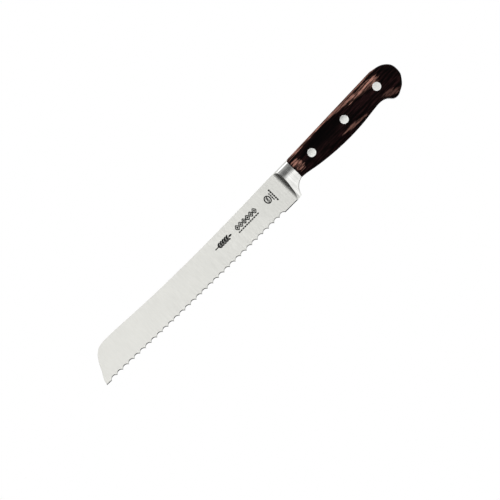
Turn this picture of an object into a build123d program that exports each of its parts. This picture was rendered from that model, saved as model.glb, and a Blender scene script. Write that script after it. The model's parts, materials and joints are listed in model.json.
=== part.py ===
from build123d import *
import os
from math import sqrt

# Bread knife with a forged full-bolster blade, a full tang, two wooden scales and three two-part rivets.
#
# Frame: millimetres. X runs along the rivet line and points to the butt of the grip, +Z points to the
# spine and Y is the thickness. The origin is on the rivet line, in the middle plane, where the bolster
# meets the scales. The cutting edge faces -Z and the tip is at the -X end.

# ---- blade ----
blade_length = 203.4            # from the heel corner to the tip
heel_x = -9.6                   # rear corner of the bolster's foot
tip_x = heel_x - blade_length
edge_z = -17.3                  # straight part of the edge, next to the heel
tip_z = -12.55                  # lowest point of the tip
edge_middle_z = -15.8           # edge line half way along, before the scallops
shoulder_z = 12.6               # highest point of the spine, behind the tip
blade_spine_half = 1.15         # half the thickness of the spine at the bolster
blade_edge_half = 0.22          # half the thickness behind the edge at the bolster
distal_taper = 0.0014           # loss of half thickness for each millimetre toward the tip
spine_front = (-16.0, 9.66)     # the spine leaves the bolster here
spine_points = ((-44, 9.16), (-78, 8.88), (-120, 9.36), (-160, 11.05), (-190, shoulder_z))
point_curve = ((-197.9, 11.3), (-203.8, 6.1), (-209.4, -4.0))   # from the shoulder down to the tip
blade_root = ((-12.4, -15.3), (-9.2, 8.0), (-9.0, 9.2))         # end of the blade, buried in the bolster

# ---- scallops of the edge ----
scallop_count = 31
scallop_pitch = 5.83
scallop_depth = 1.8
tooth_land = 0.10               # width of the tooth between two scallops
first_scallop_x = -30.3         # centre of the scallop nearest the heel
bevel_width = 0.62              # visible width of the ground bevel, on the left side only
edge_land = 0.08                # flat left under the plain stretches of the edge
bevel_overcut = 1.0             # how far the tools run past the steel

# ---- bolster ----
bolster_foot_x = -14.4          # front of the bolster where it reaches the edge
bolster_front_x = -16.0         # bolster stock starts here, inside the blade
bolster_foot_z = -16.9
bolster_foot_front_z = edge_z + 0.15
scoop_radius = 6.0              # hollow that runs from the blade's flank up to the bolster's crest
scoop_centre_x = -15.65
scoop_dip = 0.131               # how far the hollow reaches under the flank
choil_rounding = 0.7            # rounding of the choil's long edges

# ---- grip ----
grip_length = 107.2
grip_front_bottom_z = -7.55
grip_front_top_z = 9.62
grip_rear_top = (86, 11.37)     # where the straight top of the grip turns into the butt
top_slope = (grip_rear_top[1] - grip_front_top_z) / grip_rear_top[0]
tang_half = 1.6
edge_rounding = 2.2             # rounding of the long edges of the scales
scale_corner = 2.2              # rounding of the upper front corner of each scale

# ---- rivets ----
rivet_x = (18.0, 52.55, 87.1)
rivet_names = ("front", "middle", "rear")
head_radius = 3.35
tube_radius = 2.4
pin_radius = 1.6
rivet_seat_y = 5.6              # the heads bear on this step inside the scales
rivet_gap = 0.02                # fit of a head in its scale and of a pin in its tube
bore_gap = 0.08                 # fit of the tube in the scales and the tang
tube_end_gap = 0.4              # free length at the mouth of the tube and at the end of the pin
rivet_centres = [(x, 0) for x in rivet_x]

# ---- stock and cutters, all larger than what they make ----
blade_stock_half = 3.0
cutter_reach = 12.0             # more than half the thickness or the height of anything cut
bolster_reach = 25.0            # more than the height of the bolster

left, right = -1, 1             # sign of Y for the two sides

os.makedirs("parts", exist_ok=True)


def flank_half_thickness(x, z):
    """Half the thickness of the ground blade, which is a flat wedge tapering to the edge and to the tip."""
    wedge = (blade_spine_half - blade_edge_half) / (grip_front_top_z - edge_z)
    return blade_edge_half + wedge * (z - edge_z) + distal_taper * (x - bolster_foot_x)


def flank_plane(side, x=bolster_foot_x, sink=0.0):
    """Plane of one flank at station x: its x runs along the blade and its y points out of the steel."""
    root = Vector(x, side * flank_half_thickness(x, 0), 0)
    along = Vector(1, side * distal_taper, 0)
    upward = Vector(0, side * (flank_half_thickness(x, 1) - flank_half_thickness(x, 0)), 1)
    outward = (upward.cross(along) * side).normalized()
    return Plane(origin=root - outward * sink, x_dir=along, z_dir=along.cross(outward))


# the edge before its scallops are ground: one shallow arc from the tip to the foot of the bolster
edge_curve = ThreePointArc(
    (tip_x, tip_z), ((tip_x + bolster_foot_x) / 2, edge_middle_z), (bolster_foot_x, edge_z)
)


def on_edge(x):
    """Point of the edge curve at station x, as (x, z)."""
    return edge_curve @ ((x - tip_x) / (bolster_foot_x - tip_x))


# ---------------------------------------------------------------- blade
with BuildPart() as blade:
    with BuildSketch(Plane.XZ):
        with BuildLine() as outline:
            add(edge_curve)
            Polyline(edge_curve @ 1, *blade_root, spine_front)
            spine = Spline(spine_front, *spine_points, tangents=((-1, -0.02), (-1, 0.01)))
            Spline(spine @ 1, *point_curve, (tip_x, tip_z), tangents=((-1, 0.01), (-0.2, -1)))
        make_face()
    extrude(amount=blade_stock_half, both=True)
    for side in (left, right):
        flank = flank_plane(side)
        split(bisect_by=Plane(origin=flank.origin, z_dir=flank.y_dir), keep=Keep.BOTTOM)
    # scallops: each one is a short cone across the blade, so it leaves a bevel on the left side only
    chord = scallop_pitch - tooth_land
    scallop_radius = (chord**2 / 4 + scallop_depth**2) / (2 * scallop_depth)
    for index in range(scallop_count):
        x = first_scallop_x - index * scallop_pitch
        crown_z = on_edge(x).Y + scallop_depth
        half = flank_half_thickness(x, crown_z)
        slope = bevel_width / (2 * half)
        with Locations(Plane(origin=(x, 0, crown_z - scallop_radius), z_dir=(0, -1, 0))):
            Cone(
                bottom_radius=scallop_radius + slope * (half - bevel_overcut),
                top_radius=scallop_radius + slope * (half + bevel_overcut),
                height=2 * bevel_overcut,
                mode=Mode.SUBTRACT,
            )

# ---------------------------------------------------------------- bolster
# Half cross-sections: each has a crowned upper cheek, a crease, and a rounded facet above it. The lower
# cheek thins toward the foot, where the bolster meets the cutting edge.
cheek_crown = 25.0              # radius of the upper cheek
# station, half width, height of the crease, facet above the crease and lower cheek as (y, z)
bolster_sections = (
    (-16.0, 3.0, 8.2, ((0.8, 8.9), (0.4, 9.2), (0, 9.3)),
     ((1.6, -6.0), (0.55, -11.4), (0.05, -15.8), (0.02, -17.8))),
    (-10.5, 4.35, 7.9, ((2.2, 8.9), (1.3, 9.4), (0, 9.58)),
     ((3.1, -6.0), (2.15, -11.4), (1.15, -15.8), (0.85, -17.8))),
    (-5.2, 5.6, 7.5, ((3.6, 8.8), (2.3, 9.35), (0, 9.6)),
     ((4.6, -6.0), (3.35, -11.4), (2.3, -15.8), (1.9, -17.8))),
    (0.0, 6.7, 7.1, ((5.0, 8.5), (3.7, 9.25), (0, 9.62)),
     ((6.15, -5.6), (5.2, -8.0), (4.5, -11.4), (4.0, -15.8), (3.7, -17.8))),
)
with BuildPart() as bolster:
    for station, half_width, crease_z, facet_points, foot_points in bolster_sections:
        with BuildSketch(Plane.YZ.offset(station)):
            with BuildLine():
                mid_z = crease_z / 2
                crease = (half_width - crease_z**2 / (2 * cheek_crown), crease_z)
                upper_cheek = ThreePointArc(
                    (half_width, 0), (half_width - mid_z**2 / (2 * cheek_crown), mid_z), crease
                )
                Spline(crease, *facet_points)
                lower_cheek = Spline((half_width, 0), *foot_points, tangents=((0, -1), (-0.1, -1)))
                Polyline(lower_cheek @ 1, (0, foot_points[-1][1]), facet_points[-1])
            make_face()
    loft()
    mirror(about=Plane.XZ)
    # side outline: foot, choil and the face against the scales
    with BuildSketch(Plane.XZ):
        with BuildLine():
            foot = Polyline(
                (bolster_front_x, bolster_foot_front_z), (bolster_foot_x, edge_z), (heel_x, bolster_foot_z)
            )
            choil = Spline(
                foot @ 1, (-8.1, -13.3), (-5.2, -9.95), (0, grip_front_bottom_z),
                tangents=((0.35, 1), (1, 0.25)),
            )
            Polyline(choil @ 1, (0, cutter_reach), (bolster_front_x, cutter_reach), foot @ 0)
        make_face()
    extrude(amount=cutter_reach, both=True, mode=Mode.INTERSECT)
    # the two long edges of the choil lie below the grip and away from the middle plane
    choil_edges = [
        edge for edge in bolster.edges().filter_by(GeomType.BSPLINE)
        if abs(edge.center().Y) > choil_rounding
        and heel_x < edge.center().X < 0
        and edge.center().Z < grip_front_bottom_z
    ]
    fillet(choil_edges, radius=choil_rounding)
    # hollow on each side, running down the flank of the blade
    for side in (left, right):
        with BuildSketch(flank_plane(side, scoop_centre_x, scoop_dip)):
            with BuildLine():
                hollow = RadiusArc((0, 0), (scoop_radius, scoop_radius), -scoop_radius)
                Polyline(
                    hollow @ 1, (scoop_radius, cutter_reach), (-scoop_radius, cutter_reach),
                    (-scoop_radius, 0), hollow @ 0,
                )
            make_face()
        extrude(amount=bolster_reach, both=True, mode=Mode.SUBTRACT)

# ---------------------------------------------------------------- shapes shared by the tang and the scales
with BuildLine() as grip_outline:
    belly = Spline(
        (0, grip_front_bottom_z), (12, -9.4), (28, -11.6), (48, -12.54), (64, -11.75), (78.5, -10.25),
        tangents=((1, -0.04), (1, 0.06)),
    )
    beak = Spline(
        belly @ 1, (87.2, -12.4), (93.3, -16.25),
        tangents=((1, 0.06), (1, 0)),
    )
    lower_butt = Spline(
        beak @ 1, (97, -15.05), (101.3, -12.6), (105.1, -8.3), (grip_length, -1.0),
        tangents=((1, 0), (0, 1)),
    )
    upper_butt = Spline(
        lower_butt @ 1, (105.95, 4.25), (102.8, 7.6), (98.9, 9.7), (93, 11.05), grip_rear_top,
        tangents=((0, 1), (-1, -top_slope)),
    )
    Polyline(upper_butt @ 1, (0, grip_front_top_z), belly @ 0)

# The cheeks swell toward the butt and are crowned from top to bottom: station, half width, crown radius.
cheek_reach = 17                # how far each section goes above and below the rivet line
cheek_sections = (
    (-2.0, 6.6, 27), (0.0, 6.7, 27), (12.0, 7.1, 32), (40.0, 7.75, 42), (75.0, 8.2, 45), (112.0, 8.2, 42),
)
with BuildPart() as cheek_stock:
    for station, half_width, crown in cheek_sections:
        edge_half = half_width - crown + sqrt(crown**2 - cheek_reach**2)
        with BuildSketch(Plane.YZ.offset(station)):
            with BuildLine():
                right_cheek = ThreePointArc(
                    (edge_half, -cheek_reach), (half_width, 0), (edge_half, cheek_reach)
                )
                left_cheek = ThreePointArc(
                    (-edge_half, cheek_reach), (-half_width, 0), (-edge_half, -cheek_reach)
                )
                Line(right_cheek @ 1, left_cheek @ 0)
                Line(left_cheek @ 1, right_cheek @ 0)
            make_face()
    loft()

# ---------------------------------------------------------------- forging: blade, bolster and tang
with BuildPart() as forged_blade:
    add(blade.part)
    add(bolster.part)
    # plain ground stretches of the edge at the heel and at the tip
    for start_x, end_x in ((tip_x, first_scallop_x - (scallop_count - 0.5) * scallop_pitch),
                           (first_scallop_x + scallop_pitch / 2, bolster_foot_x)):
        start = Vector(start_x, 0, on_edge(start_x).Y)
        end = Vector(end_x, 0, on_edge(end_x).Y)
        half = flank_half_thickness(start_x, start.Z)
        # the sketch plane looks toward the tip, with its x to the left side and its y up
        with BuildSketch(Plane(origin=end, x_dir=(0, -1, 0), z_dir=start - end)):
            with BuildLine():
                Polyline(
                    (3 * half - edge_land, -bevel_overcut), (3 * half - edge_land, 2 * bevel_width),
                    (edge_land - half, 0), (edge_land - half, -bevel_overcut), close=True,
                )
            make_face()
        extrude(amount=(end - start).length, mode=Mode.SUBTRACT)
    with BuildSketch(Plane.XZ.offset(-tang_half)):
        add(grip_outline.line)
        make_face()
    extrude(amount=2 * tang_half)
    with BuildSketch(Plane.XZ):
        with Locations(*rivet_centres):
            Circle(tube_radius + bore_gap)
    extrude(amount=cutter_reach, both=True, mode=Mode.SUBTRACT)
forged_blade.part.label = "forged_blade"
export_step(forged_blade.part, "parts/forged_blade.step")

# ---------------------------------------------------------------- scales
for side, side_name in ((left, "left"), (right, "right")):
    with BuildPart() as scale:
        with BuildSketch(Plane.XZ.offset(-side * tang_half)):
            add(grip_outline.line)
            make_face()
        extrude(amount=-side * cutter_reach)
        add(cheek_stock.part, mode=Mode.INTERSECT)
        cheek = scale.faces().sort_by(Axis.Y)[-1 if side == right else 0]
        long_edges = cheek.edges().filter_by(lambda edge: edge.center().X > scale_corner)
        fillet(long_edges, radius=edge_rounding)
        # rounded upper front corner, where a little of the tang shows
        with BuildSketch(Plane.XZ):
            with BuildLine():
                bulge = scale_corner * (1 - sqrt(0.5))
                corner = ThreePointArc(
                    (0, grip_front_top_z - scale_corner),
                    (bulge, grip_front_top_z - bulge),
                    (scale_corner, grip_front_top_z + scale_corner * top_slope),
                )
                Polyline(
                    corner @ 1, (scale_corner, cutter_reach), (-scale_corner, cutter_reach),
                    (-scale_corner, grip_front_top_z - scale_corner), corner @ 0,
                )
            make_face()
        extrude(amount=cutter_reach, both=True, mode=Mode.SUBTRACT)
        # bores for the rivet tubes and seats for the rivet heads
        with BuildSketch(Plane.XZ.offset(-side * tang_half)):
            with Locations(*rivet_centres):
                Circle(tube_radius + bore_gap)
        extrude(amount=-side * cutter_reach, mode=Mode.SUBTRACT)
        with BuildSketch(Plane.XZ.offset(-side * rivet_seat_y)):
            with Locations(*rivet_centres):
                Circle(head_radius + rivet_gap)
        extrude(amount=-side * cutter_reach, mode=Mode.SUBTRACT)
    scale.part.label = side_name + "_scale"
    export_step(scale.part, "parts/" + scale.part.label + ".step")

# ---------------------------------------------------------------- rivets
# Each rivet is a pin pressed into a tube. The heads are ground flush with the crowned cheeks.
for x, place in zip(rivet_x, rivet_names):
    axis = Axis((x, 0, 0), (0, 1, 0))
    with BuildPart() as pin_half:
        with BuildSketch(Plane(origin=(x, 0, 0))):
            with BuildLine():
                Polyline(
                    (0, -cutter_reach), (head_radius, -cutter_reach), (head_radius, -rivet_seat_y),
                    (pin_radius, -rivet_seat_y), (pin_radius, rivet_seat_y - tube_end_gap),
                    (0, rivet_seat_y - tube_end_gap), close=True,
                )
            make_face()
        revolve(axis=axis)
        add(cheek_stock.part, mode=Mode.INTERSECT)
    pin_half.part.label = place + "_rivet_pin"
    export_step(pin_half.part, "parts/" + pin_half.part.label + ".step")

    with BuildPart() as tube_half:
        with BuildSketch(Plane(origin=(x, 0, 0))):
            with BuildLine():
                Polyline(
                    (pin_radius + rivet_gap, tube_end_gap - rivet_seat_y),
                    (tube_radius, tube_end_gap - rivet_seat_y), (tube_radius, rivet_seat_y),
                    (head_radius, rivet_seat_y), (head_radius, cutter_reach), (0, cutter_reach),
                    (0, rivet_seat_y), (pin_radius + rivet_gap, rivet_seat_y), close=True,
                )
            make_face()
        revolve(axis=axis)
        add(cheek_stock.part, mode=Mode.INTERSECT)
    tube_half.part.label = place + "_rivet_tube"
    export_step(tube_half.part, "parts/" + tube_half.part.label + ".step")
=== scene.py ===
"""Bread knife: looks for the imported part. Steel, stained wood, rivets, etched ornament and a pale studio."""

import json
import math

import bmesh
import bpy
from mathutils import Matrix, Vector


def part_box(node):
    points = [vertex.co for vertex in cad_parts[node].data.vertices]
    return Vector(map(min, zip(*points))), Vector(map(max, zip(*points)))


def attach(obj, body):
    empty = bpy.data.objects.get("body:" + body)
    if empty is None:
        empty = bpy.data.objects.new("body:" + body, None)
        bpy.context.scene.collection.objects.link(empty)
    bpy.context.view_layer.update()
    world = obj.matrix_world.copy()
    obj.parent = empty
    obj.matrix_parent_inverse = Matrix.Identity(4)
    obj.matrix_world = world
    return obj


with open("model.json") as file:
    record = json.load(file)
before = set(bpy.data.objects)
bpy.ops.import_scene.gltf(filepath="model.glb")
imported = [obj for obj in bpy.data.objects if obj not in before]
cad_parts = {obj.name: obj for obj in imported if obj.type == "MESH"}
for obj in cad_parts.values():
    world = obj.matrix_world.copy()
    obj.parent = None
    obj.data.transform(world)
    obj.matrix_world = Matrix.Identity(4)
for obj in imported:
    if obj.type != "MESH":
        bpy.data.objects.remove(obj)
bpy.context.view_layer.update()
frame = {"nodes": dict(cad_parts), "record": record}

MM = 0.001

# Places worked out from the frame, in metres.
blade_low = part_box("forged_blade")[0]
tip_x = blade_low.x
edge_z = blade_low.z
grip_front_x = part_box("left_scale")[0].x
rivet_boxes = [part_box(f"{place}_rivet_pin") for place in ("front", "middle", "rear")]
rivet_middles = [(low.x + high.x) / 2 for low, high in rivet_boxes]
rivet_radius = (rivet_boxes[0][1].x - rivet_boxes[0][0].x) / 2
flank_mount = next(m for m in frame["record"]["mounts"] if m["name"] == "left_flank")
flank_point = Vector(flank_mount["pos_m"])
flank_normal = Vector(flank_mount["axis"])
bolster_front_x = grip_front_x - 14.4 * MM      # where the hollow of the bolster leaves the flat blade
grip_top_front = 9.62 * MM                      # height of the grip's straight top where it meets the bolster
grip_top_slope = 0.0203

# Patches of red-brown ply on the left scale, in millimetres: middle x and z, half length, half height,
# lean and strength.
wood_patches = (
    (4.6, 1.2, 4.0, 5.4, -0.30, 0.58),
    (56.0, 8.9, 14.0, 1.4, -0.03, 0.34),
    (76.0, 6.2, 17.0, 3.1, -0.05, 0.72),
    (87.0, 4.8, 6.0, 3.2, 0.0, 0.62),
    (55.0, -8.3, 12.0, 1.8, -0.12, 0.31),
    (92.0, -11.0, 8.0, 2.7, -0.45, 0.15),
)

# Base colours.
brush_dark, brush_light = (0.686, 0.685, 0.649, 1), (0.792, 0.789, 0.751, 1)
cloud_colour = (0.691, 0.689, 0.654, 1)
# painted highlight toward the blade's tip and painted shade next to its heel
painted_tip_highlight = (0.840, 0.836, 0.796, 1)
painted_heel_shade = (0.664, 0.664, 0.632, 1)
# darker ground bevels: partly their own ground finish, partly painted shade
bevel_grind_and_shade_colour = (0.422, 0.422, 0.405, 1)
bolster_dark, bolster_light = (0.722, 0.722, 0.700, 1), (0.801, 0.801, 0.779, 1)
tang_colour = (0.651, 0.651, 0.634, 1)
wood_black, wood_brown = (0.0008, 0.0003, 0.0003, 1), (0.014, 0.0045, 0.0048, 1)
deep_stain = (0.0004, 0.0002, 0.0003, 1)
# red-brown of the ply patches, also painted along the top edge as a sheen
red_ply_and_sheen = (0.44, 0.215, 0.165, 1)
rivet_dark, rivet_light = (0.669, 0.669, 0.645, 1), (0.792, 0.792, 0.764, 1)
# painted highlight on the rim of each rivet head
rivet_rim_highlight = (0.818, 0.818, 0.801, 1)
oxide_dark, oxide_light = (0.004, 0.004, 0.004, 1), (0.016, 0.016, 0.015, 1)
table_colour = (0.86, 0.86, 0.85, 1)

# Nearly all values of a noise lie in this range.
noise_low, noise_high = 0.3, 0.7

# How far the shading rounds the edges of each material.
steel_edge_round = 0.12 * MM
wood_edge_round = 0.25 * MM
rivet_edge_round = 0.35 * MM

# The board of the right scale: its figure is shifted along the grip, in millimetres, and turned upside down
# and stretched in height by this factor on z.
right_board_shift = 13.0
right_board_flip = -0.8

# The deepest stain, in millimetres: middle x and z, half length and half height.
stain_x, stain_z, stain_reach_x, stain_reach_z = 33.0, 3.5, 21.0, 5.5

# The ornament, in millimetres: x from the front of the grip, z, then length or size.
ornament_sink, ornament_rise = -0.01 * MM, 0.02 * MM    # how far its plates reach into and out of the steel
wheat_x, wheat_z, wheat_length = -84.4, 0.3, 15.5
diamonds_x, diamonds_z, diamonds_length, diamonds_height = -62.6, 0.4, 21.3, 4.3
loaf_x, loaf_z, loaf_width, loaf_height = -30.0, -1.1, 5.8, 4.6
rules = (                                               # x, lower and upper z, width
    (-26.3, -4.7, 2.1, 1.0),
    (-24.5, -7.0, 4.1, 1.25),
)

# The studio as the metals reflect it. Each pair is a range of one part of the ray's unit direction:
# along the knife (+ to the butt), across it (- to the camera) or upward.
tip_dimming_end, tip_dimming_length, tip_least = 0.97, 0.55, 0.10
low_down_up = (0.25, 0.50)
band_start_up, band_start_level = (0.05, 0.17), 0.12
band_end_up, band_end_level = (0.36, 0.62), 0.50
in_front_across = (-0.40, -0.05)
behind_loss = 0.36
strip_up, strip_across, strip_gain = (0.60, 0.80), (-0.30, -0.08), 1.2
under_up, under_ahead_up, under_loss = (-0.68, -0.56), (-0.42, -0.26), 0.92
under_ahead_along, under_end_along = (-0.30, -0.12), (0.05, 0.38)
studio_level = 1.307
diffuse_loss = 0.35                                     # how much less of the studio plain surfaces get

# Table, softboxes and camera, in metres.
table_radius, table_middle_x = 0.62, -0.05
table_fade = (0.45, 0.97)                               # shares of the radius between which it fades out
softbox_target = (-0.05, 0, 0)
frame_width = 374 * MM
camera_roll = math.radians(45.55)
lens, sensor = 220.0, 36.0
picture_centre_x = grip_front_x - 66.1 * MM
picture_centre_z = edge_z - 0.7 * MM
eye_z = edge_z + 0.1 * MM


# ------------------------------------------------------------------ node helpers
class NodeKit:
    """A node tree with short calls for the nodes that materials and world share."""

    def __init__(self, tree):
        self.tree = tree

    def node(self, kind, **settings):
        made = self.tree.nodes.new(kind)
        for key, value in settings.items():
            setattr(made, key, value)
        return made

    def feed(self, socket, value):
        """Links a socket, or sets a plain value."""
        if isinstance(value, bpy.types.NodeSocket):
            self.tree.links.new(value, socket)
        else:
            socket.default_value = value

    def math(self, operation, a, b=0.0, clamp=False):
        made = self.node("ShaderNodeMath", operation=operation, use_clamp=clamp)
        self.feed(made.inputs[0], a)
        self.feed(made.inputs[1], b)
        return made.outputs[0]

    def ramp(self, value, low, high, to_low=0.0, to_high=1.0, smooth=True):
        """Maps value from low..high to to_low..to_high, held at the ends."""
        made = self.node("ShaderNodeMapRange", interpolation_type="SMOOTHSTEP" if smooth else "LINEAR")
        self.feed(made.inputs["Value"], value)
        for key, number in (("From Min", low), ("From Max", high), ("To Min", to_low), ("To Max", to_high)):
            made.inputs[key].default_value = number
        return made.outputs[0]


class Shader(NodeKit):
    """A material's node tree."""

    def __init__(self, name):
        self.material = bpy.data.materials.new(name)
        self.material.use_nodes = True
        super().__init__(self.material.node_tree)
        self.bsdf = self.tree.nodes["Principled BSDF"]

    def set(self, name, value):
        self.feed(self.bsdf.inputs[name], value)

    def place(self):
        """The point being shaded, in millimetres of the row frame, as a vector and its three parts."""
        coordinate = self.node("ShaderNodeTexCoord").outputs["Object"]
        scaled = self.node("ShaderNodeVectorMath", operation="SCALE")
        self.feed(scaled.inputs[0], coordinate)
        scaled.inputs["Scale"].default_value = 1 / MM
        parts = self.node("ShaderNodeSeparateXYZ")
        self.feed(parts.inputs[0], scaled.outputs[0])
        return scaled.outputs[0], parts.outputs[0], parts.outputs[1], parts.outputs[2]

    def noise(self, point, stretch, detail=3.0, roughness=0.5):
        """Stretched noise: stretch holds the number of features per millimetre on X, Y and Z."""
        mapping = self.node("ShaderNodeMapping")
        self.feed(mapping.inputs["Vector"], point)
        mapping.inputs["Scale"].default_value = stretch
        texture = self.node("ShaderNodeTexNoise")
        self.feed(texture.inputs["Vector"], mapping.outputs[0])
        texture.inputs["Scale"].default_value = 1.0
        texture.inputs["Detail"].default_value = detail
        texture.inputs["Roughness"].default_value = roughness
        return texture.outputs["Fac"]

    def spread(self, noise, to_low=0.0, to_high=1.0, smooth=True):
        """Maps the usual range of a noise to to_low..to_high."""
        return self.ramp(noise, noise_low, noise_high, to_low, to_high, smooth)

    def mix(self, share, first, second):
        made = self.node("ShaderNodeMix", data_type="RGBA")
        self.feed(made.inputs["Factor"], share)
        self.feed(made.inputs["A"], first)
        self.feed(made.inputs["B"], second)
        return made.outputs["Result"]

    def bump(self, height, strength, distance, normal=None):
        made = self.node("ShaderNodeBump")
        self.feed(made.inputs["Height"], height)
        made.inputs["Strength"].default_value = strength
        made.inputs["Distance"].default_value = distance
        if normal is not None:
            self.feed(made.inputs["Normal"], normal)
        return made.outputs[0]

    def soft_edge(self, radius):
        made = self.node("ShaderNodeBevel", samples=6)
        made.inputs["Radius"].default_value = radius
        return made.outputs[0]


# ------------------------------------------------------------------ materials
def steel_material():
    """Cross-brushed blade, polished bolster and plain ground tang, told apart by their place on the knife."""
    s = Shader("forged_steel")
    point, x = s.place()[:2]
    bolster_mm = bolster_front_x / MM
    on_bolster = s.ramp(x, bolster_mm + 2.4, bolster_mm + 4.0)
    on_tang = s.ramp(x, grip_front_x / MM - 0.05, grip_front_x / MM + 0.05)

    coarse = s.noise(point, (1.3, 1.3, 0.10), detail=4, roughness=0.65)
    fine = s.noise(point, (7.0, 7.0, 0.22), detail=3, roughness=0.6)
    cloud = s.noise(point, (0.05, 0.05, 0.06), detail=2)
    brush = s.math("ADD", s.math("MULTIPLY", coarse, 0.45), s.math("MULTIPLY", fine, 0.55))

    blade_tone = s.mix(s.spread(brush, smooth=False), brush_dark, brush_light)
    blade_tone = s.mix(s.spread(cloud, 0.0, 0.15), blade_tone, cloud_colour)
    # in the photo the flat flank reads brighter toward the tip, and duller next to the heel
    # this is painted light: a painted highlight toward the tip and painted shade next to the heel
    toward_tip = s.ramp(x, tip_x / MM + 30, bolster_mm - 20, 0.45, 0.0)
    blade_tone = s.mix(toward_tip, blade_tone, painted_tip_highlight)
    heel_shade_share = s.ramp(x, bolster_mm - 40, bolster_mm - 8, 0.0, 0.5)
    blade_tone = s.mix(heel_shade_share, blade_tone, painted_heel_shade)
    # the ground bevels face down and reflect more sharply; their darker colour is partly their own ground
    # finish and partly painted shade on the down-facing faces
    facing = s.node("ShaderNodeSeparateXYZ")
    s.feed(facing.inputs[0], s.node("ShaderNodeNewGeometry").outputs["True Normal"])
    steep = s.ramp(facing.outputs[2], -0.20, -0.10, 1.0, 0.0)
    on_bevel = s.math("MULTIPLY", steep, s.math("SUBTRACT", 1.0, on_bolster))
    blade_tone = s.mix(on_bevel, blade_tone, bevel_grind_and_shade_colour)
    grind = s.noise(point, (1.7, 0.1, 0.05), detail=3, roughness=0.6)
    bolster_tone = s.mix(s.ramp(grind, 0.36, 0.64, smooth=False), bolster_dark, bolster_light)
    tone = s.mix(on_bolster, blade_tone, bolster_tone)
    tone = s.mix(on_tang, tone, tang_colour)
    s.set("Base Color", tone)
    s.set("Metallic", 1.0)

    blade_rough = s.math("MULTIPLY", s.spread(brush, 0.40, 0.30), s.ramp(on_bevel, 0, 1, 1.0, 0.5))
    bolster_rough = s.spread(grind, 0.24, 0.12)
    rough = s.node("ShaderNodeMix", data_type="FLOAT")
    s.feed(rough.inputs["Factor"], on_bolster)
    s.feed(rough.inputs["A"], blade_rough)
    s.feed(rough.inputs["B"], bolster_rough)
    s.set("Roughness", rough.outputs["Result"])

    edge = s.soft_edge(steel_edge_round)
    s.set("Normal", s.bump(brush, 0.10, 0.02 * MM, edge))
    return s.material


def wood_material():
    """Stained laminate: nearly black, with red-brown plies in streaky patches and a painted red-brown sheen
    along the top edge.
    """
    s = Shader("stained_wood")
    point, x, y, z = s.place()

    fingers = s.noise(point, (0.06, 0.6, 0.9), detail=5, roughness=0.7)
    drift = s.noise(point, (0.06, 0.2, 0.25), detail=2)
    streak = s.noise(point, (0.085, 0.8, 1.15), detail=4, roughness=0.62)
    fibre = s.noise(point, (0.5, 4.0, 6.0), detail=3, roughness=0.6)
    pore = s.noise(point, (1.6, 9.0, 11.0), detail=2, roughness=0.5)

    # the right scale is cut from another board, so its patches lie elsewhere
    is_right = s.ramp(y, -0.1, 0.1)
    board_x = s.math("ADD", x, s.math("MULTIPLY", is_right, right_board_shift))
    board_z = s.math("MULTIPLY", z, s.ramp(is_right, 0, 1, 1.0, right_board_flip))
    ragged = s.math("MULTIPLY", s.math("SUBTRACT", fingers, 0.5), 4.5)
    swell = s.math("MULTIPLY", s.math("SUBTRACT", drift, 0.5), 3.0)
    shown = 0.0
    for middle_x, middle_z, reach_x, reach_z, lean, level in wood_patches:
        rise = s.math("MULTIPLY", s.math("SUBTRACT", board_x, middle_x), lean)
        across = s.math("DIVIDE", s.math("SUBTRACT", board_x, middle_x), reach_x)
        upward = s.math("SUBTRACT", s.math("ADD", board_z, swell), s.math("ADD", middle_z, rise))
        upward = s.math("DIVIDE", upward, reach_z)
        square = s.math("ADD", s.math("MULTIPLY", across, across), s.math("MULTIPLY", upward, upward))
        patch = s.ramp(s.math("ADD", square, ragged), 0.45, 1.05, level, 0.0)
        shown = s.math("MAXIMUM", shown, patch)

    # a painted sheen along the rounded top edge, in the red-brown of the plies
    top_line = s.math("ADD", s.math("MULTIPLY", x, grip_top_slope), grip_top_front / MM)
    below_top = s.math("SUBTRACT", top_line, z)
    wander = s.math("SUBTRACT", streak, 0.5)
    top_sheen_depth = s.ramp(x, 0, 30, 2.6, 1.7, smooth=False)
    top_sheen_share = s.math("DIVIDE", s.math("ADD", below_top, wander), top_sheen_depth)
    strip = s.math("MULTIPLY", s.ramp(top_sheen_share, 0.75, 0.98, 0.80, 0.0), s.ramp(x, 40, 60, 1.0, 0.5))
    strip = s.math("MULTIPLY", strip, s.ramp(x, 4, 12, 0.55, 1.0))
    shown = s.math("MAXIMUM", shown, strip)

    light = s.math("MULTIPLY", s.ramp(streak, 0.45, 0.57), s.ramp(fibre, 0.32, 0.68, 0.45, 1.0))
    ply_and_sheen = s.math("MULTIPLY", shown, s.math("ADD", light, 0.08))
    ground = s.mix(s.ramp(streak, 0.42, 0.72), wood_black, wood_brown)
    # the stain is deepest between the front and the middle rivet
    off_x = s.math("DIVIDE", s.math("SUBTRACT", board_x, stain_x), stain_reach_x)
    off_z = s.math("DIVIDE", s.math("SUBTRACT", s.math("ADD", board_z, swell), stain_z), stain_reach_z)
    far = s.math("ADD", s.math("MULTIPLY", off_x, off_x), s.math("MULTIPLY", off_z, off_z))
    ground = s.mix(s.ramp(far, 0.4, 1.3, 0.85, 0.0), ground, deep_stain)
    tone = s.mix(ply_and_sheen, ground, red_ply_and_sheen)
    s.set("Base Color", tone)
    s.set("Roughness", s.spread(fibre, 0.50, 0.38))
    s.set("Specular IOR Level", 0.026)
    edge = s.soft_edge(wood_edge_round)
    grain = s.math("ADD", s.math("MULTIPLY", fibre, 0.6), s.math("MULTIPLY", pore, 0.4))
    s.set("Normal", s.bump(grain, 0.35, 0.05 * MM, edge))
    return s.material


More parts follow.
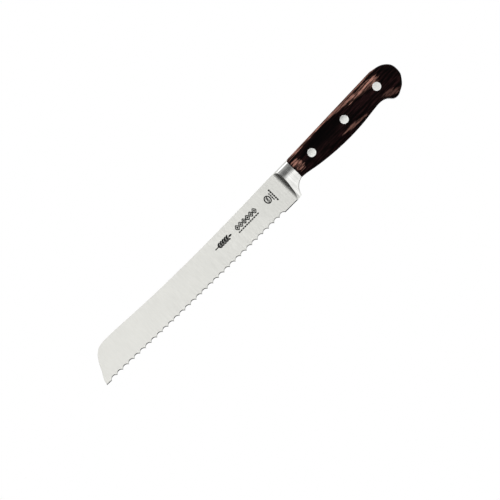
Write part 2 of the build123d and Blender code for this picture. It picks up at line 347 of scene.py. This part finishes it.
def rivet_material():
    """Ground-flush rivet heads with fine sanding lines along the grip, a slightly rounded rim and a painted
    highlight around the rim.
    """
    s = Shader("rivet_metal")
    point, x, _, z = s.place()
    lines = s.noise(point, (0.5, 6.0, 9.0), detail=3, roughness=0.6)
    tone = s.mix(s.spread(lines), rivet_dark, rivet_light)
    # a painted highlight: the rim of each head is painted brighter
    nearest = 1000.0    # farther than any point from any rivet, in millimetres
    for middle_x in rivet_middles:
        off = s.math("SUBTRACT", x, middle_x / MM)
        radius = s.math("SQRT", s.math("ADD", s.math("MULTIPLY", off, off), s.math("MULTIPLY", z, z)))
        nearest = s.math("MINIMUM", nearest, radius)
    rim_highlight = s.ramp(nearest, rivet_radius / MM - 0.75, rivet_radius / MM - 0.25, 0.0, 0.7)
    s.set("Base Color", s.mix(rim_highlight, tone, rivet_rim_highlight))
    s.set("Metallic", 1.0)
    s.set("Roughness", s.spread(lines, 0.34, 0.24))
    s.set("Normal", s.bump(lines, 0.15, 0.02 * MM, s.soft_edge(rivet_edge_round)))
    return s.material


def etch_material():
    """Electro-etched ornament: matt dark oxide with a faint mottle."""
    s = Shader("etched_oxide")
    point = s.place()[0]
    mottle = s.noise(point, (6.0, 6.0, 6.0), detail=3)
    s.set("Base Color", s.mix(s.spread(mottle), oxide_dark, oxide_light))
    s.set("Specular IOR Level", 0.15)
    s.set("Roughness", s.spread(mottle, 0.75, 0.60))
    s.set("Normal", s.bump(mottle, 0.2, 0.01 * MM))
    return s.material


def dress(node, material):
    """Gives a carried-over CAD node its material."""
    target = frame["nodes"][node]
    for slot in target.material_slots:
        slot.material = material


steel, wood, rivet_metal, oxide = steel_material(), wood_material(), rivet_material(), etch_material()
dress("forged_blade", steel)
for name in ("left_scale", "right_scale"):
    dress(name, wood)
for place in ("front", "middle", "rear"):
    for half in ("pin", "tube"):
        dress(f"{place}_rivet_{half}", rivet_metal)


# ------------------------------------------------------------------ etched ornament on the left flank
def on_flank(x, z, lift):
    """The point of the left flank at (x, z), raised off the steel by lift."""
    across = (x - flank_point.x) * flank_normal.x + (z - flank_point.z) * flank_normal.z
    return Vector((x, flank_point.y - across / flank_normal.y, z)) + flank_normal * lift


def add_prism(bm, outline):
    """A closed, very thin plate with this (x, z) outline in metres, lying on the flank."""
    low = [bm.verts.new(on_flank(x, z, ornament_sink)) for x, z in outline]
    top = [bm.verts.new(on_flank(x, z, ornament_rise)) for x, z in outline]
    bm.faces.new(low)
    bm.faces.new(reversed(top))
    for i in range(len(outline)):
        j = (i + 1) % len(outline)
        bm.faces.new((low[i], top[i], top[j], low[j]))


def add_ring(bm, centre, half_x, half_z, stroke):
    """A closed, very thin oval ring lying on the flank; half_x and half_z reach its outer edge."""
    count = 36
    section = ((0, ornament_sink), (0, ornament_rise), (stroke, ornament_rise), (stroke, ornament_sink))
    loops = []
    for shrink, lift in section:
        loop = []
        for i in range(count):
            turn = 2 * math.pi * i / count
            x = centre[0] + math.cos(turn) * (half_x - shrink)
            z = centre[1] + math.sin(turn) * (half_z - shrink)
            loop.append(bm.verts.new(on_flank(x, z, lift)))
        loops.append(loop)
    for first, second in zip(loops, loops[1:] + loops[:1]):
        for i in range(count):
            j = (i + 1) % count
            bm.faces.new((first[i], first[j], second[j], second[i]))


def leaf(centre, angle, length, width):
    """Outline of a pointed grain."""
    count = 12
    points = []
    for i in range(count):
        t = 2 * math.pi * i / count
        along = math.cos(t) * length / 2
        across = math.sin(t) * abs(math.sin(t)) ** 0.4 * width / 2
        points.append((
            centre[0] + along * math.cos(angle) - across * math.sin(angle),
            centre[1] + along * math.sin(angle) + across * math.cos(angle),
        ))
    return points


def bar(start, end, width):
    """Outline of a straight stroke."""
    run = Vector((end[0] - start[0], end[1] - start[1])).normalized() * width / 2
    return [
        (start[0] + run.y, start[1] - run.x), (end[0] + run.y, end[1] - run.x),
        (end[0] - run.y, end[1] + run.x), (start[0] - run.y, start[1] + run.x),
    ]


def wheat_ear(bm, base, length):
    """A lying ear of wheat: a stem, paired grains and one grain at the tip."""
    pairs = 5
    stem_width = 0.8 * MM
    grain_length = 3.3 * MM
    add_prism(bm, bar(base, (base[0] + length * 0.9, base[1]), stem_width))
    for i in range(pairs):
        x = base[0] + length * (0.22 + 0.68 * i / pairs)
        for up in (-1, 1):
            middle = (x + 1.2 * MM, base[1] + up * 1.25 * MM)
            add_prism(bm, leaf(middle, up * math.radians(34), grain_length, 1.45 * MM))
    add_prism(bm, leaf((base[0] + length, base[1]), 0, grain_length, 1.6 * MM))


def diamond_band(bm, start, length, height):
    """A row of outlined diamonds, each with a smaller solid one inside, over a row of short dashes."""
    count = 6
    step = length / count
    for i in range(count):
        x = start[0] + step * (i + 0.5)
        corners = [
            (x - step / 2, start[1]), (x, start[1] + height / 2),
            (x + step / 2, start[1]), (x, start[1] - height / 2),
        ]
        for a, b in zip(corners, corners[1:] + corners[:1]):
            add_prism(bm, bar(a, b, 0.8 * MM))
        add_prism(bm, [(x + (cx - x) * 0.5, start[1] + (cz - start[1]) * 0.5) for cx, cz in corners])
    dashes = 11
    for i in range(dashes):
        x = start[0] + length * i / dashes
        z = start[1] - height / 2 - 1.4 * MM
        add_prism(bm, bar((x, z), (x + length / dashes * 0.8, z), 1.1 * MM))


def loaf_mark(bm, centre, width, height):
    """A small bread loaf, standing on end, with three slashes."""
    stroke = 0.95 * MM
    add_ring(bm, centre, (height + stroke) / 2, (width + stroke) / 2, stroke)
    for i in (-1, 0, 1):
        z = centre[1] + i * width * 0.25
        add_prism(bm, leaf((centre[0], z), math.radians(38), height * 0.62, 1.05 * MM))


def dashed_rule(bm, x, low, high, width):
    """An upright row of short strokes."""
    strokes = round((high - low) / (1.8 * MM))
    pitch = (high - low) / strokes
    for i in range(strokes):
        add_prism(bm, bar((x, low + pitch * i), (x, low + pitch * (i + 0.84)), width))


ornament_mesh = bpy.data.meshes.new("etched_ornament")
bm = bmesh.new()
wheat_ear(bm, (grip_front_x + wheat_x * MM, wheat_z * MM), wheat_length * MM)
diamonds_start = (grip_front_x + diamonds_x * MM, diamonds_z * MM)
diamond_band(bm, diamonds_start, diamonds_length * MM, diamonds_height * MM)
loaf_mark(bm, (grip_front_x + loaf_x * MM, loaf_z * MM), loaf_width * MM, loaf_height * MM)
for rule_x, rule_low, rule_high, rule_width in rules:
    dashed_rule(bm, grip_front_x + rule_x * MM, rule_low * MM, rule_high * MM, rule_width * MM)
bmesh.ops.recalc_face_normals(bm, faces=bm.faces)
bm.to_mesh(ornament_mesh)
bm.free()
ornament = bpy.data.objects.new("etched_ornament", ornament_mesh)
bpy.context.scene.collection.objects.link(ornament)
ornament_mesh.materials.append(oxide)
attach(ornament, "root")


# ------------------------------------------------------------------ studio
def make_floor():
    """A round pale table at the height of the edge, fading out to the white backdrop."""
    location = (table_middle_x, 0, edge_z)
    bpy.ops.mesh.primitive_circle_add(vertices=96, radius=table_radius, fill_type="NGON", location=location)
    floor = bpy.context.active_object
    floor.name = "floor"
    s = Shader("pale_table")
    distance = s.node("ShaderNodeVectorMath", operation="LENGTH")
    s.feed(distance.inputs[0], s.place()[0])
    fade_start, fade_end = (share * table_radius / MM for share in table_fade)
    s.set("Base Color", table_colour)
    s.set("Roughness", 0.75)
    s.set("Specular IOR Level", 0.2)
    s.set("Alpha", s.ramp(distance.outputs["Value"], fade_start, fade_end, 1.0, 0.0))
    floor.data.materials.append(s.material)
    floor.visible_glossy = False


def make_world():
    """White for the camera. Reflections get a soft studio, which is darker toward the tip, in a band above
    the horizon, behind the knife and from below, with a bright strip overhead."""
    world = bpy.data.worlds.new("studio")
    bpy.context.scene.world = world
    world.use_nodes = True
    n = NodeKit(world.node_tree)
    background = world.node_tree.nodes["Background"]
    parts = n.node("ShaderNodeSeparateXYZ")
    n.feed(parts.inputs[0], n.node("ShaderNodeTexCoord").outputs["Generated"])
    along, across, up = parts.outputs

    # dimmer toward the tip, but only low down
    open_share = n.math("DIVIDE", n.math("ADD", along, tip_dimming_end), tip_dimming_length)
    open_share = n.math("MAXIMUM", n.math("MINIMUM", open_share, 1.0), tip_least)
    low_down = n.ramp(up, *low_down_up, 1.0, 0.0)
    toward_tip = n.math("SUBTRACT", 1.0, n.math("MULTIPLY", open_share, open_share))
    toward_tip = n.math("SUBTRACT", 1.0, n.math("MULTIPLY", toward_tip, low_down))

    # a dark band above the horizon, on the camera's side
    in_front = n.ramp(across, *in_front_across, 1.0, 0.0)
    band_start = n.ramp(up, *band_start_up, 1.0, band_start_level)
    band_end = n.ramp(up, *band_end_up, 0.0, band_end_level)
    band = n.math("SUBTRACT", 1.0, n.math("ADD", band_start, band_end), clamp=True)
    band = n.math("SUBTRACT", 1.0, n.math("MULTIPLY", band, in_front))
    # behind the knife the studio is a little darker, so that the top facets read as light grey
    behind = n.math("MULTIPLY", n.math("SUBTRACT", 1.0, in_front), behind_loss)
    band = n.math("SUBTRACT", band, behind)
    # a bright strip overhead, on the camera's side, glints along the crease of the bolster
    strip = n.math("MULTIPLY", n.ramp(up, *strip_up, 0.0, strip_gain),
                   n.ramp(across, *strip_across, 1.0, 0.0))
    band = n.math("ADD", band, strip)

    # dark from below, so that the ground bevels read as a dark line; away from the tip it reaches higher up
    under_ahead = n.math("MULTIPLY", n.ramp(up, *under_ahead_up, under_loss, 0.0),
                         n.ramp(along, *under_ahead_along, 0.0, 1.0))
    under = n.math("MAXIMUM", n.ramp(up, *under_up, under_loss, 0.0), under_ahead)
    under = n.math("MULTIPLY", under, n.ramp(along, *under_end_along, 1.0, 0.0))
    below = n.math("SUBTRACT", 1.0, n.math("MULTIPLY", under, in_front))

    reflected = n.math("MULTIPLY", n.math("MULTIPLY", toward_tip, below), band)
    reflected = n.math("MULTIPLY", reflected, studio_level)
    path = n.node("ShaderNodeLightPath")
    is_diffuse = path.outputs["Is Diffuse Ray"]
    is_seen = n.math("MAXIMUM", path.outputs["Is Camera Ray"], path.outputs["Is Transmission Ray"])
    is_plain = n.math("MAXIMUM", is_seen, is_diffuse)
    plain_level = n.math("ADD", n.math("MULTIPLY", is_diffuse, -diffuse_loss), 1.0)
    plain = n.math("MULTIPLY", is_plain, plain_level)
    rest = n.math("MULTIPLY", n.math("SUBTRACT", 1.0, is_plain), reflected)
    level = n.math("ADD", plain, rest)
    colour = n.node("ShaderNodeCombineColor")
    for channel in range(3):
        n.feed(colour.inputs[channel], level)
    n.feed(background.inputs["Color"], colour.outputs[0])
    n.feed(background.inputs["Strength"], 1.0)


def add_softbox(name, location, width, height, power):
    """A rectangular lamp aimed at the knife, which neither the camera nor a reflection shows."""
    light = bpy.data.lights.new(name, "AREA")
    light.shape = "RECTANGLE"
    light.size, light.size_y = width, height
    light.energy = power
    lamp = bpy.data.objects.new(name, light)
    bpy.context.scene.collection.objects.link(lamp)
    lamp.location = location
    lamp.rotation_mode = "QUATERNION"
    lamp.rotation_quaternion = (Vector(softbox_target) - Vector(location)).to_track_quat("-Z", "Y")
    lamp.visible_camera = False
    lamp.visible_glossy = False


def make_camera():
    """Looks square at the left side, rolled so that the grip points up and to the right."""
    distance = frame_width * lens / sensor
    camera = bpy.data.objects.new("camera", bpy.data.cameras.new("camera"))
    bpy.context.scene.collection.objects.link(camera)
    camera.data.lens, camera.data.sensor_width = lens, sensor
    camera.data.clip_start, camera.data.clip_end = 0.05, 20
    # the picture's centre, kept on the table's level by a small lens shift, so that the table is edge-on
    right = Vector((math.cos(camera_roll), 0, -math.sin(camera_roll)))
    up = Vector((math.sin(camera_roll), 0, math.cos(camera_roll)))
    away = Vector((0, 1, 0))
    offset = Vector((0, 0, picture_centre_z - eye_z))
    camera.data.shift_x = offset.dot(right) / frame_width
    camera.data.shift_y = offset.dot(up) / frame_width
    axes = Matrix((right, up, -away)).transposed()
    camera.location = Vector((picture_centre_x, -distance, eye_z))
    camera.rotation_mode = "QUATERNION"
    camera.rotation_quaternion = axes.to_quaternion()
    bpy.context.scene.camera = camera


make_floor()
make_world()
add_softbox("key_softbox", location=(-0.25, -0.75, 0.65), width=0.7, height=0.7, power=9.0)
add_softbox("rear_softbox", location=(0.15, 0.8, 0.55), width=0.7, height=0.5, power=6.0)
make_camera()
bpy.context.scene.view_settings.view_transform = "Standard"
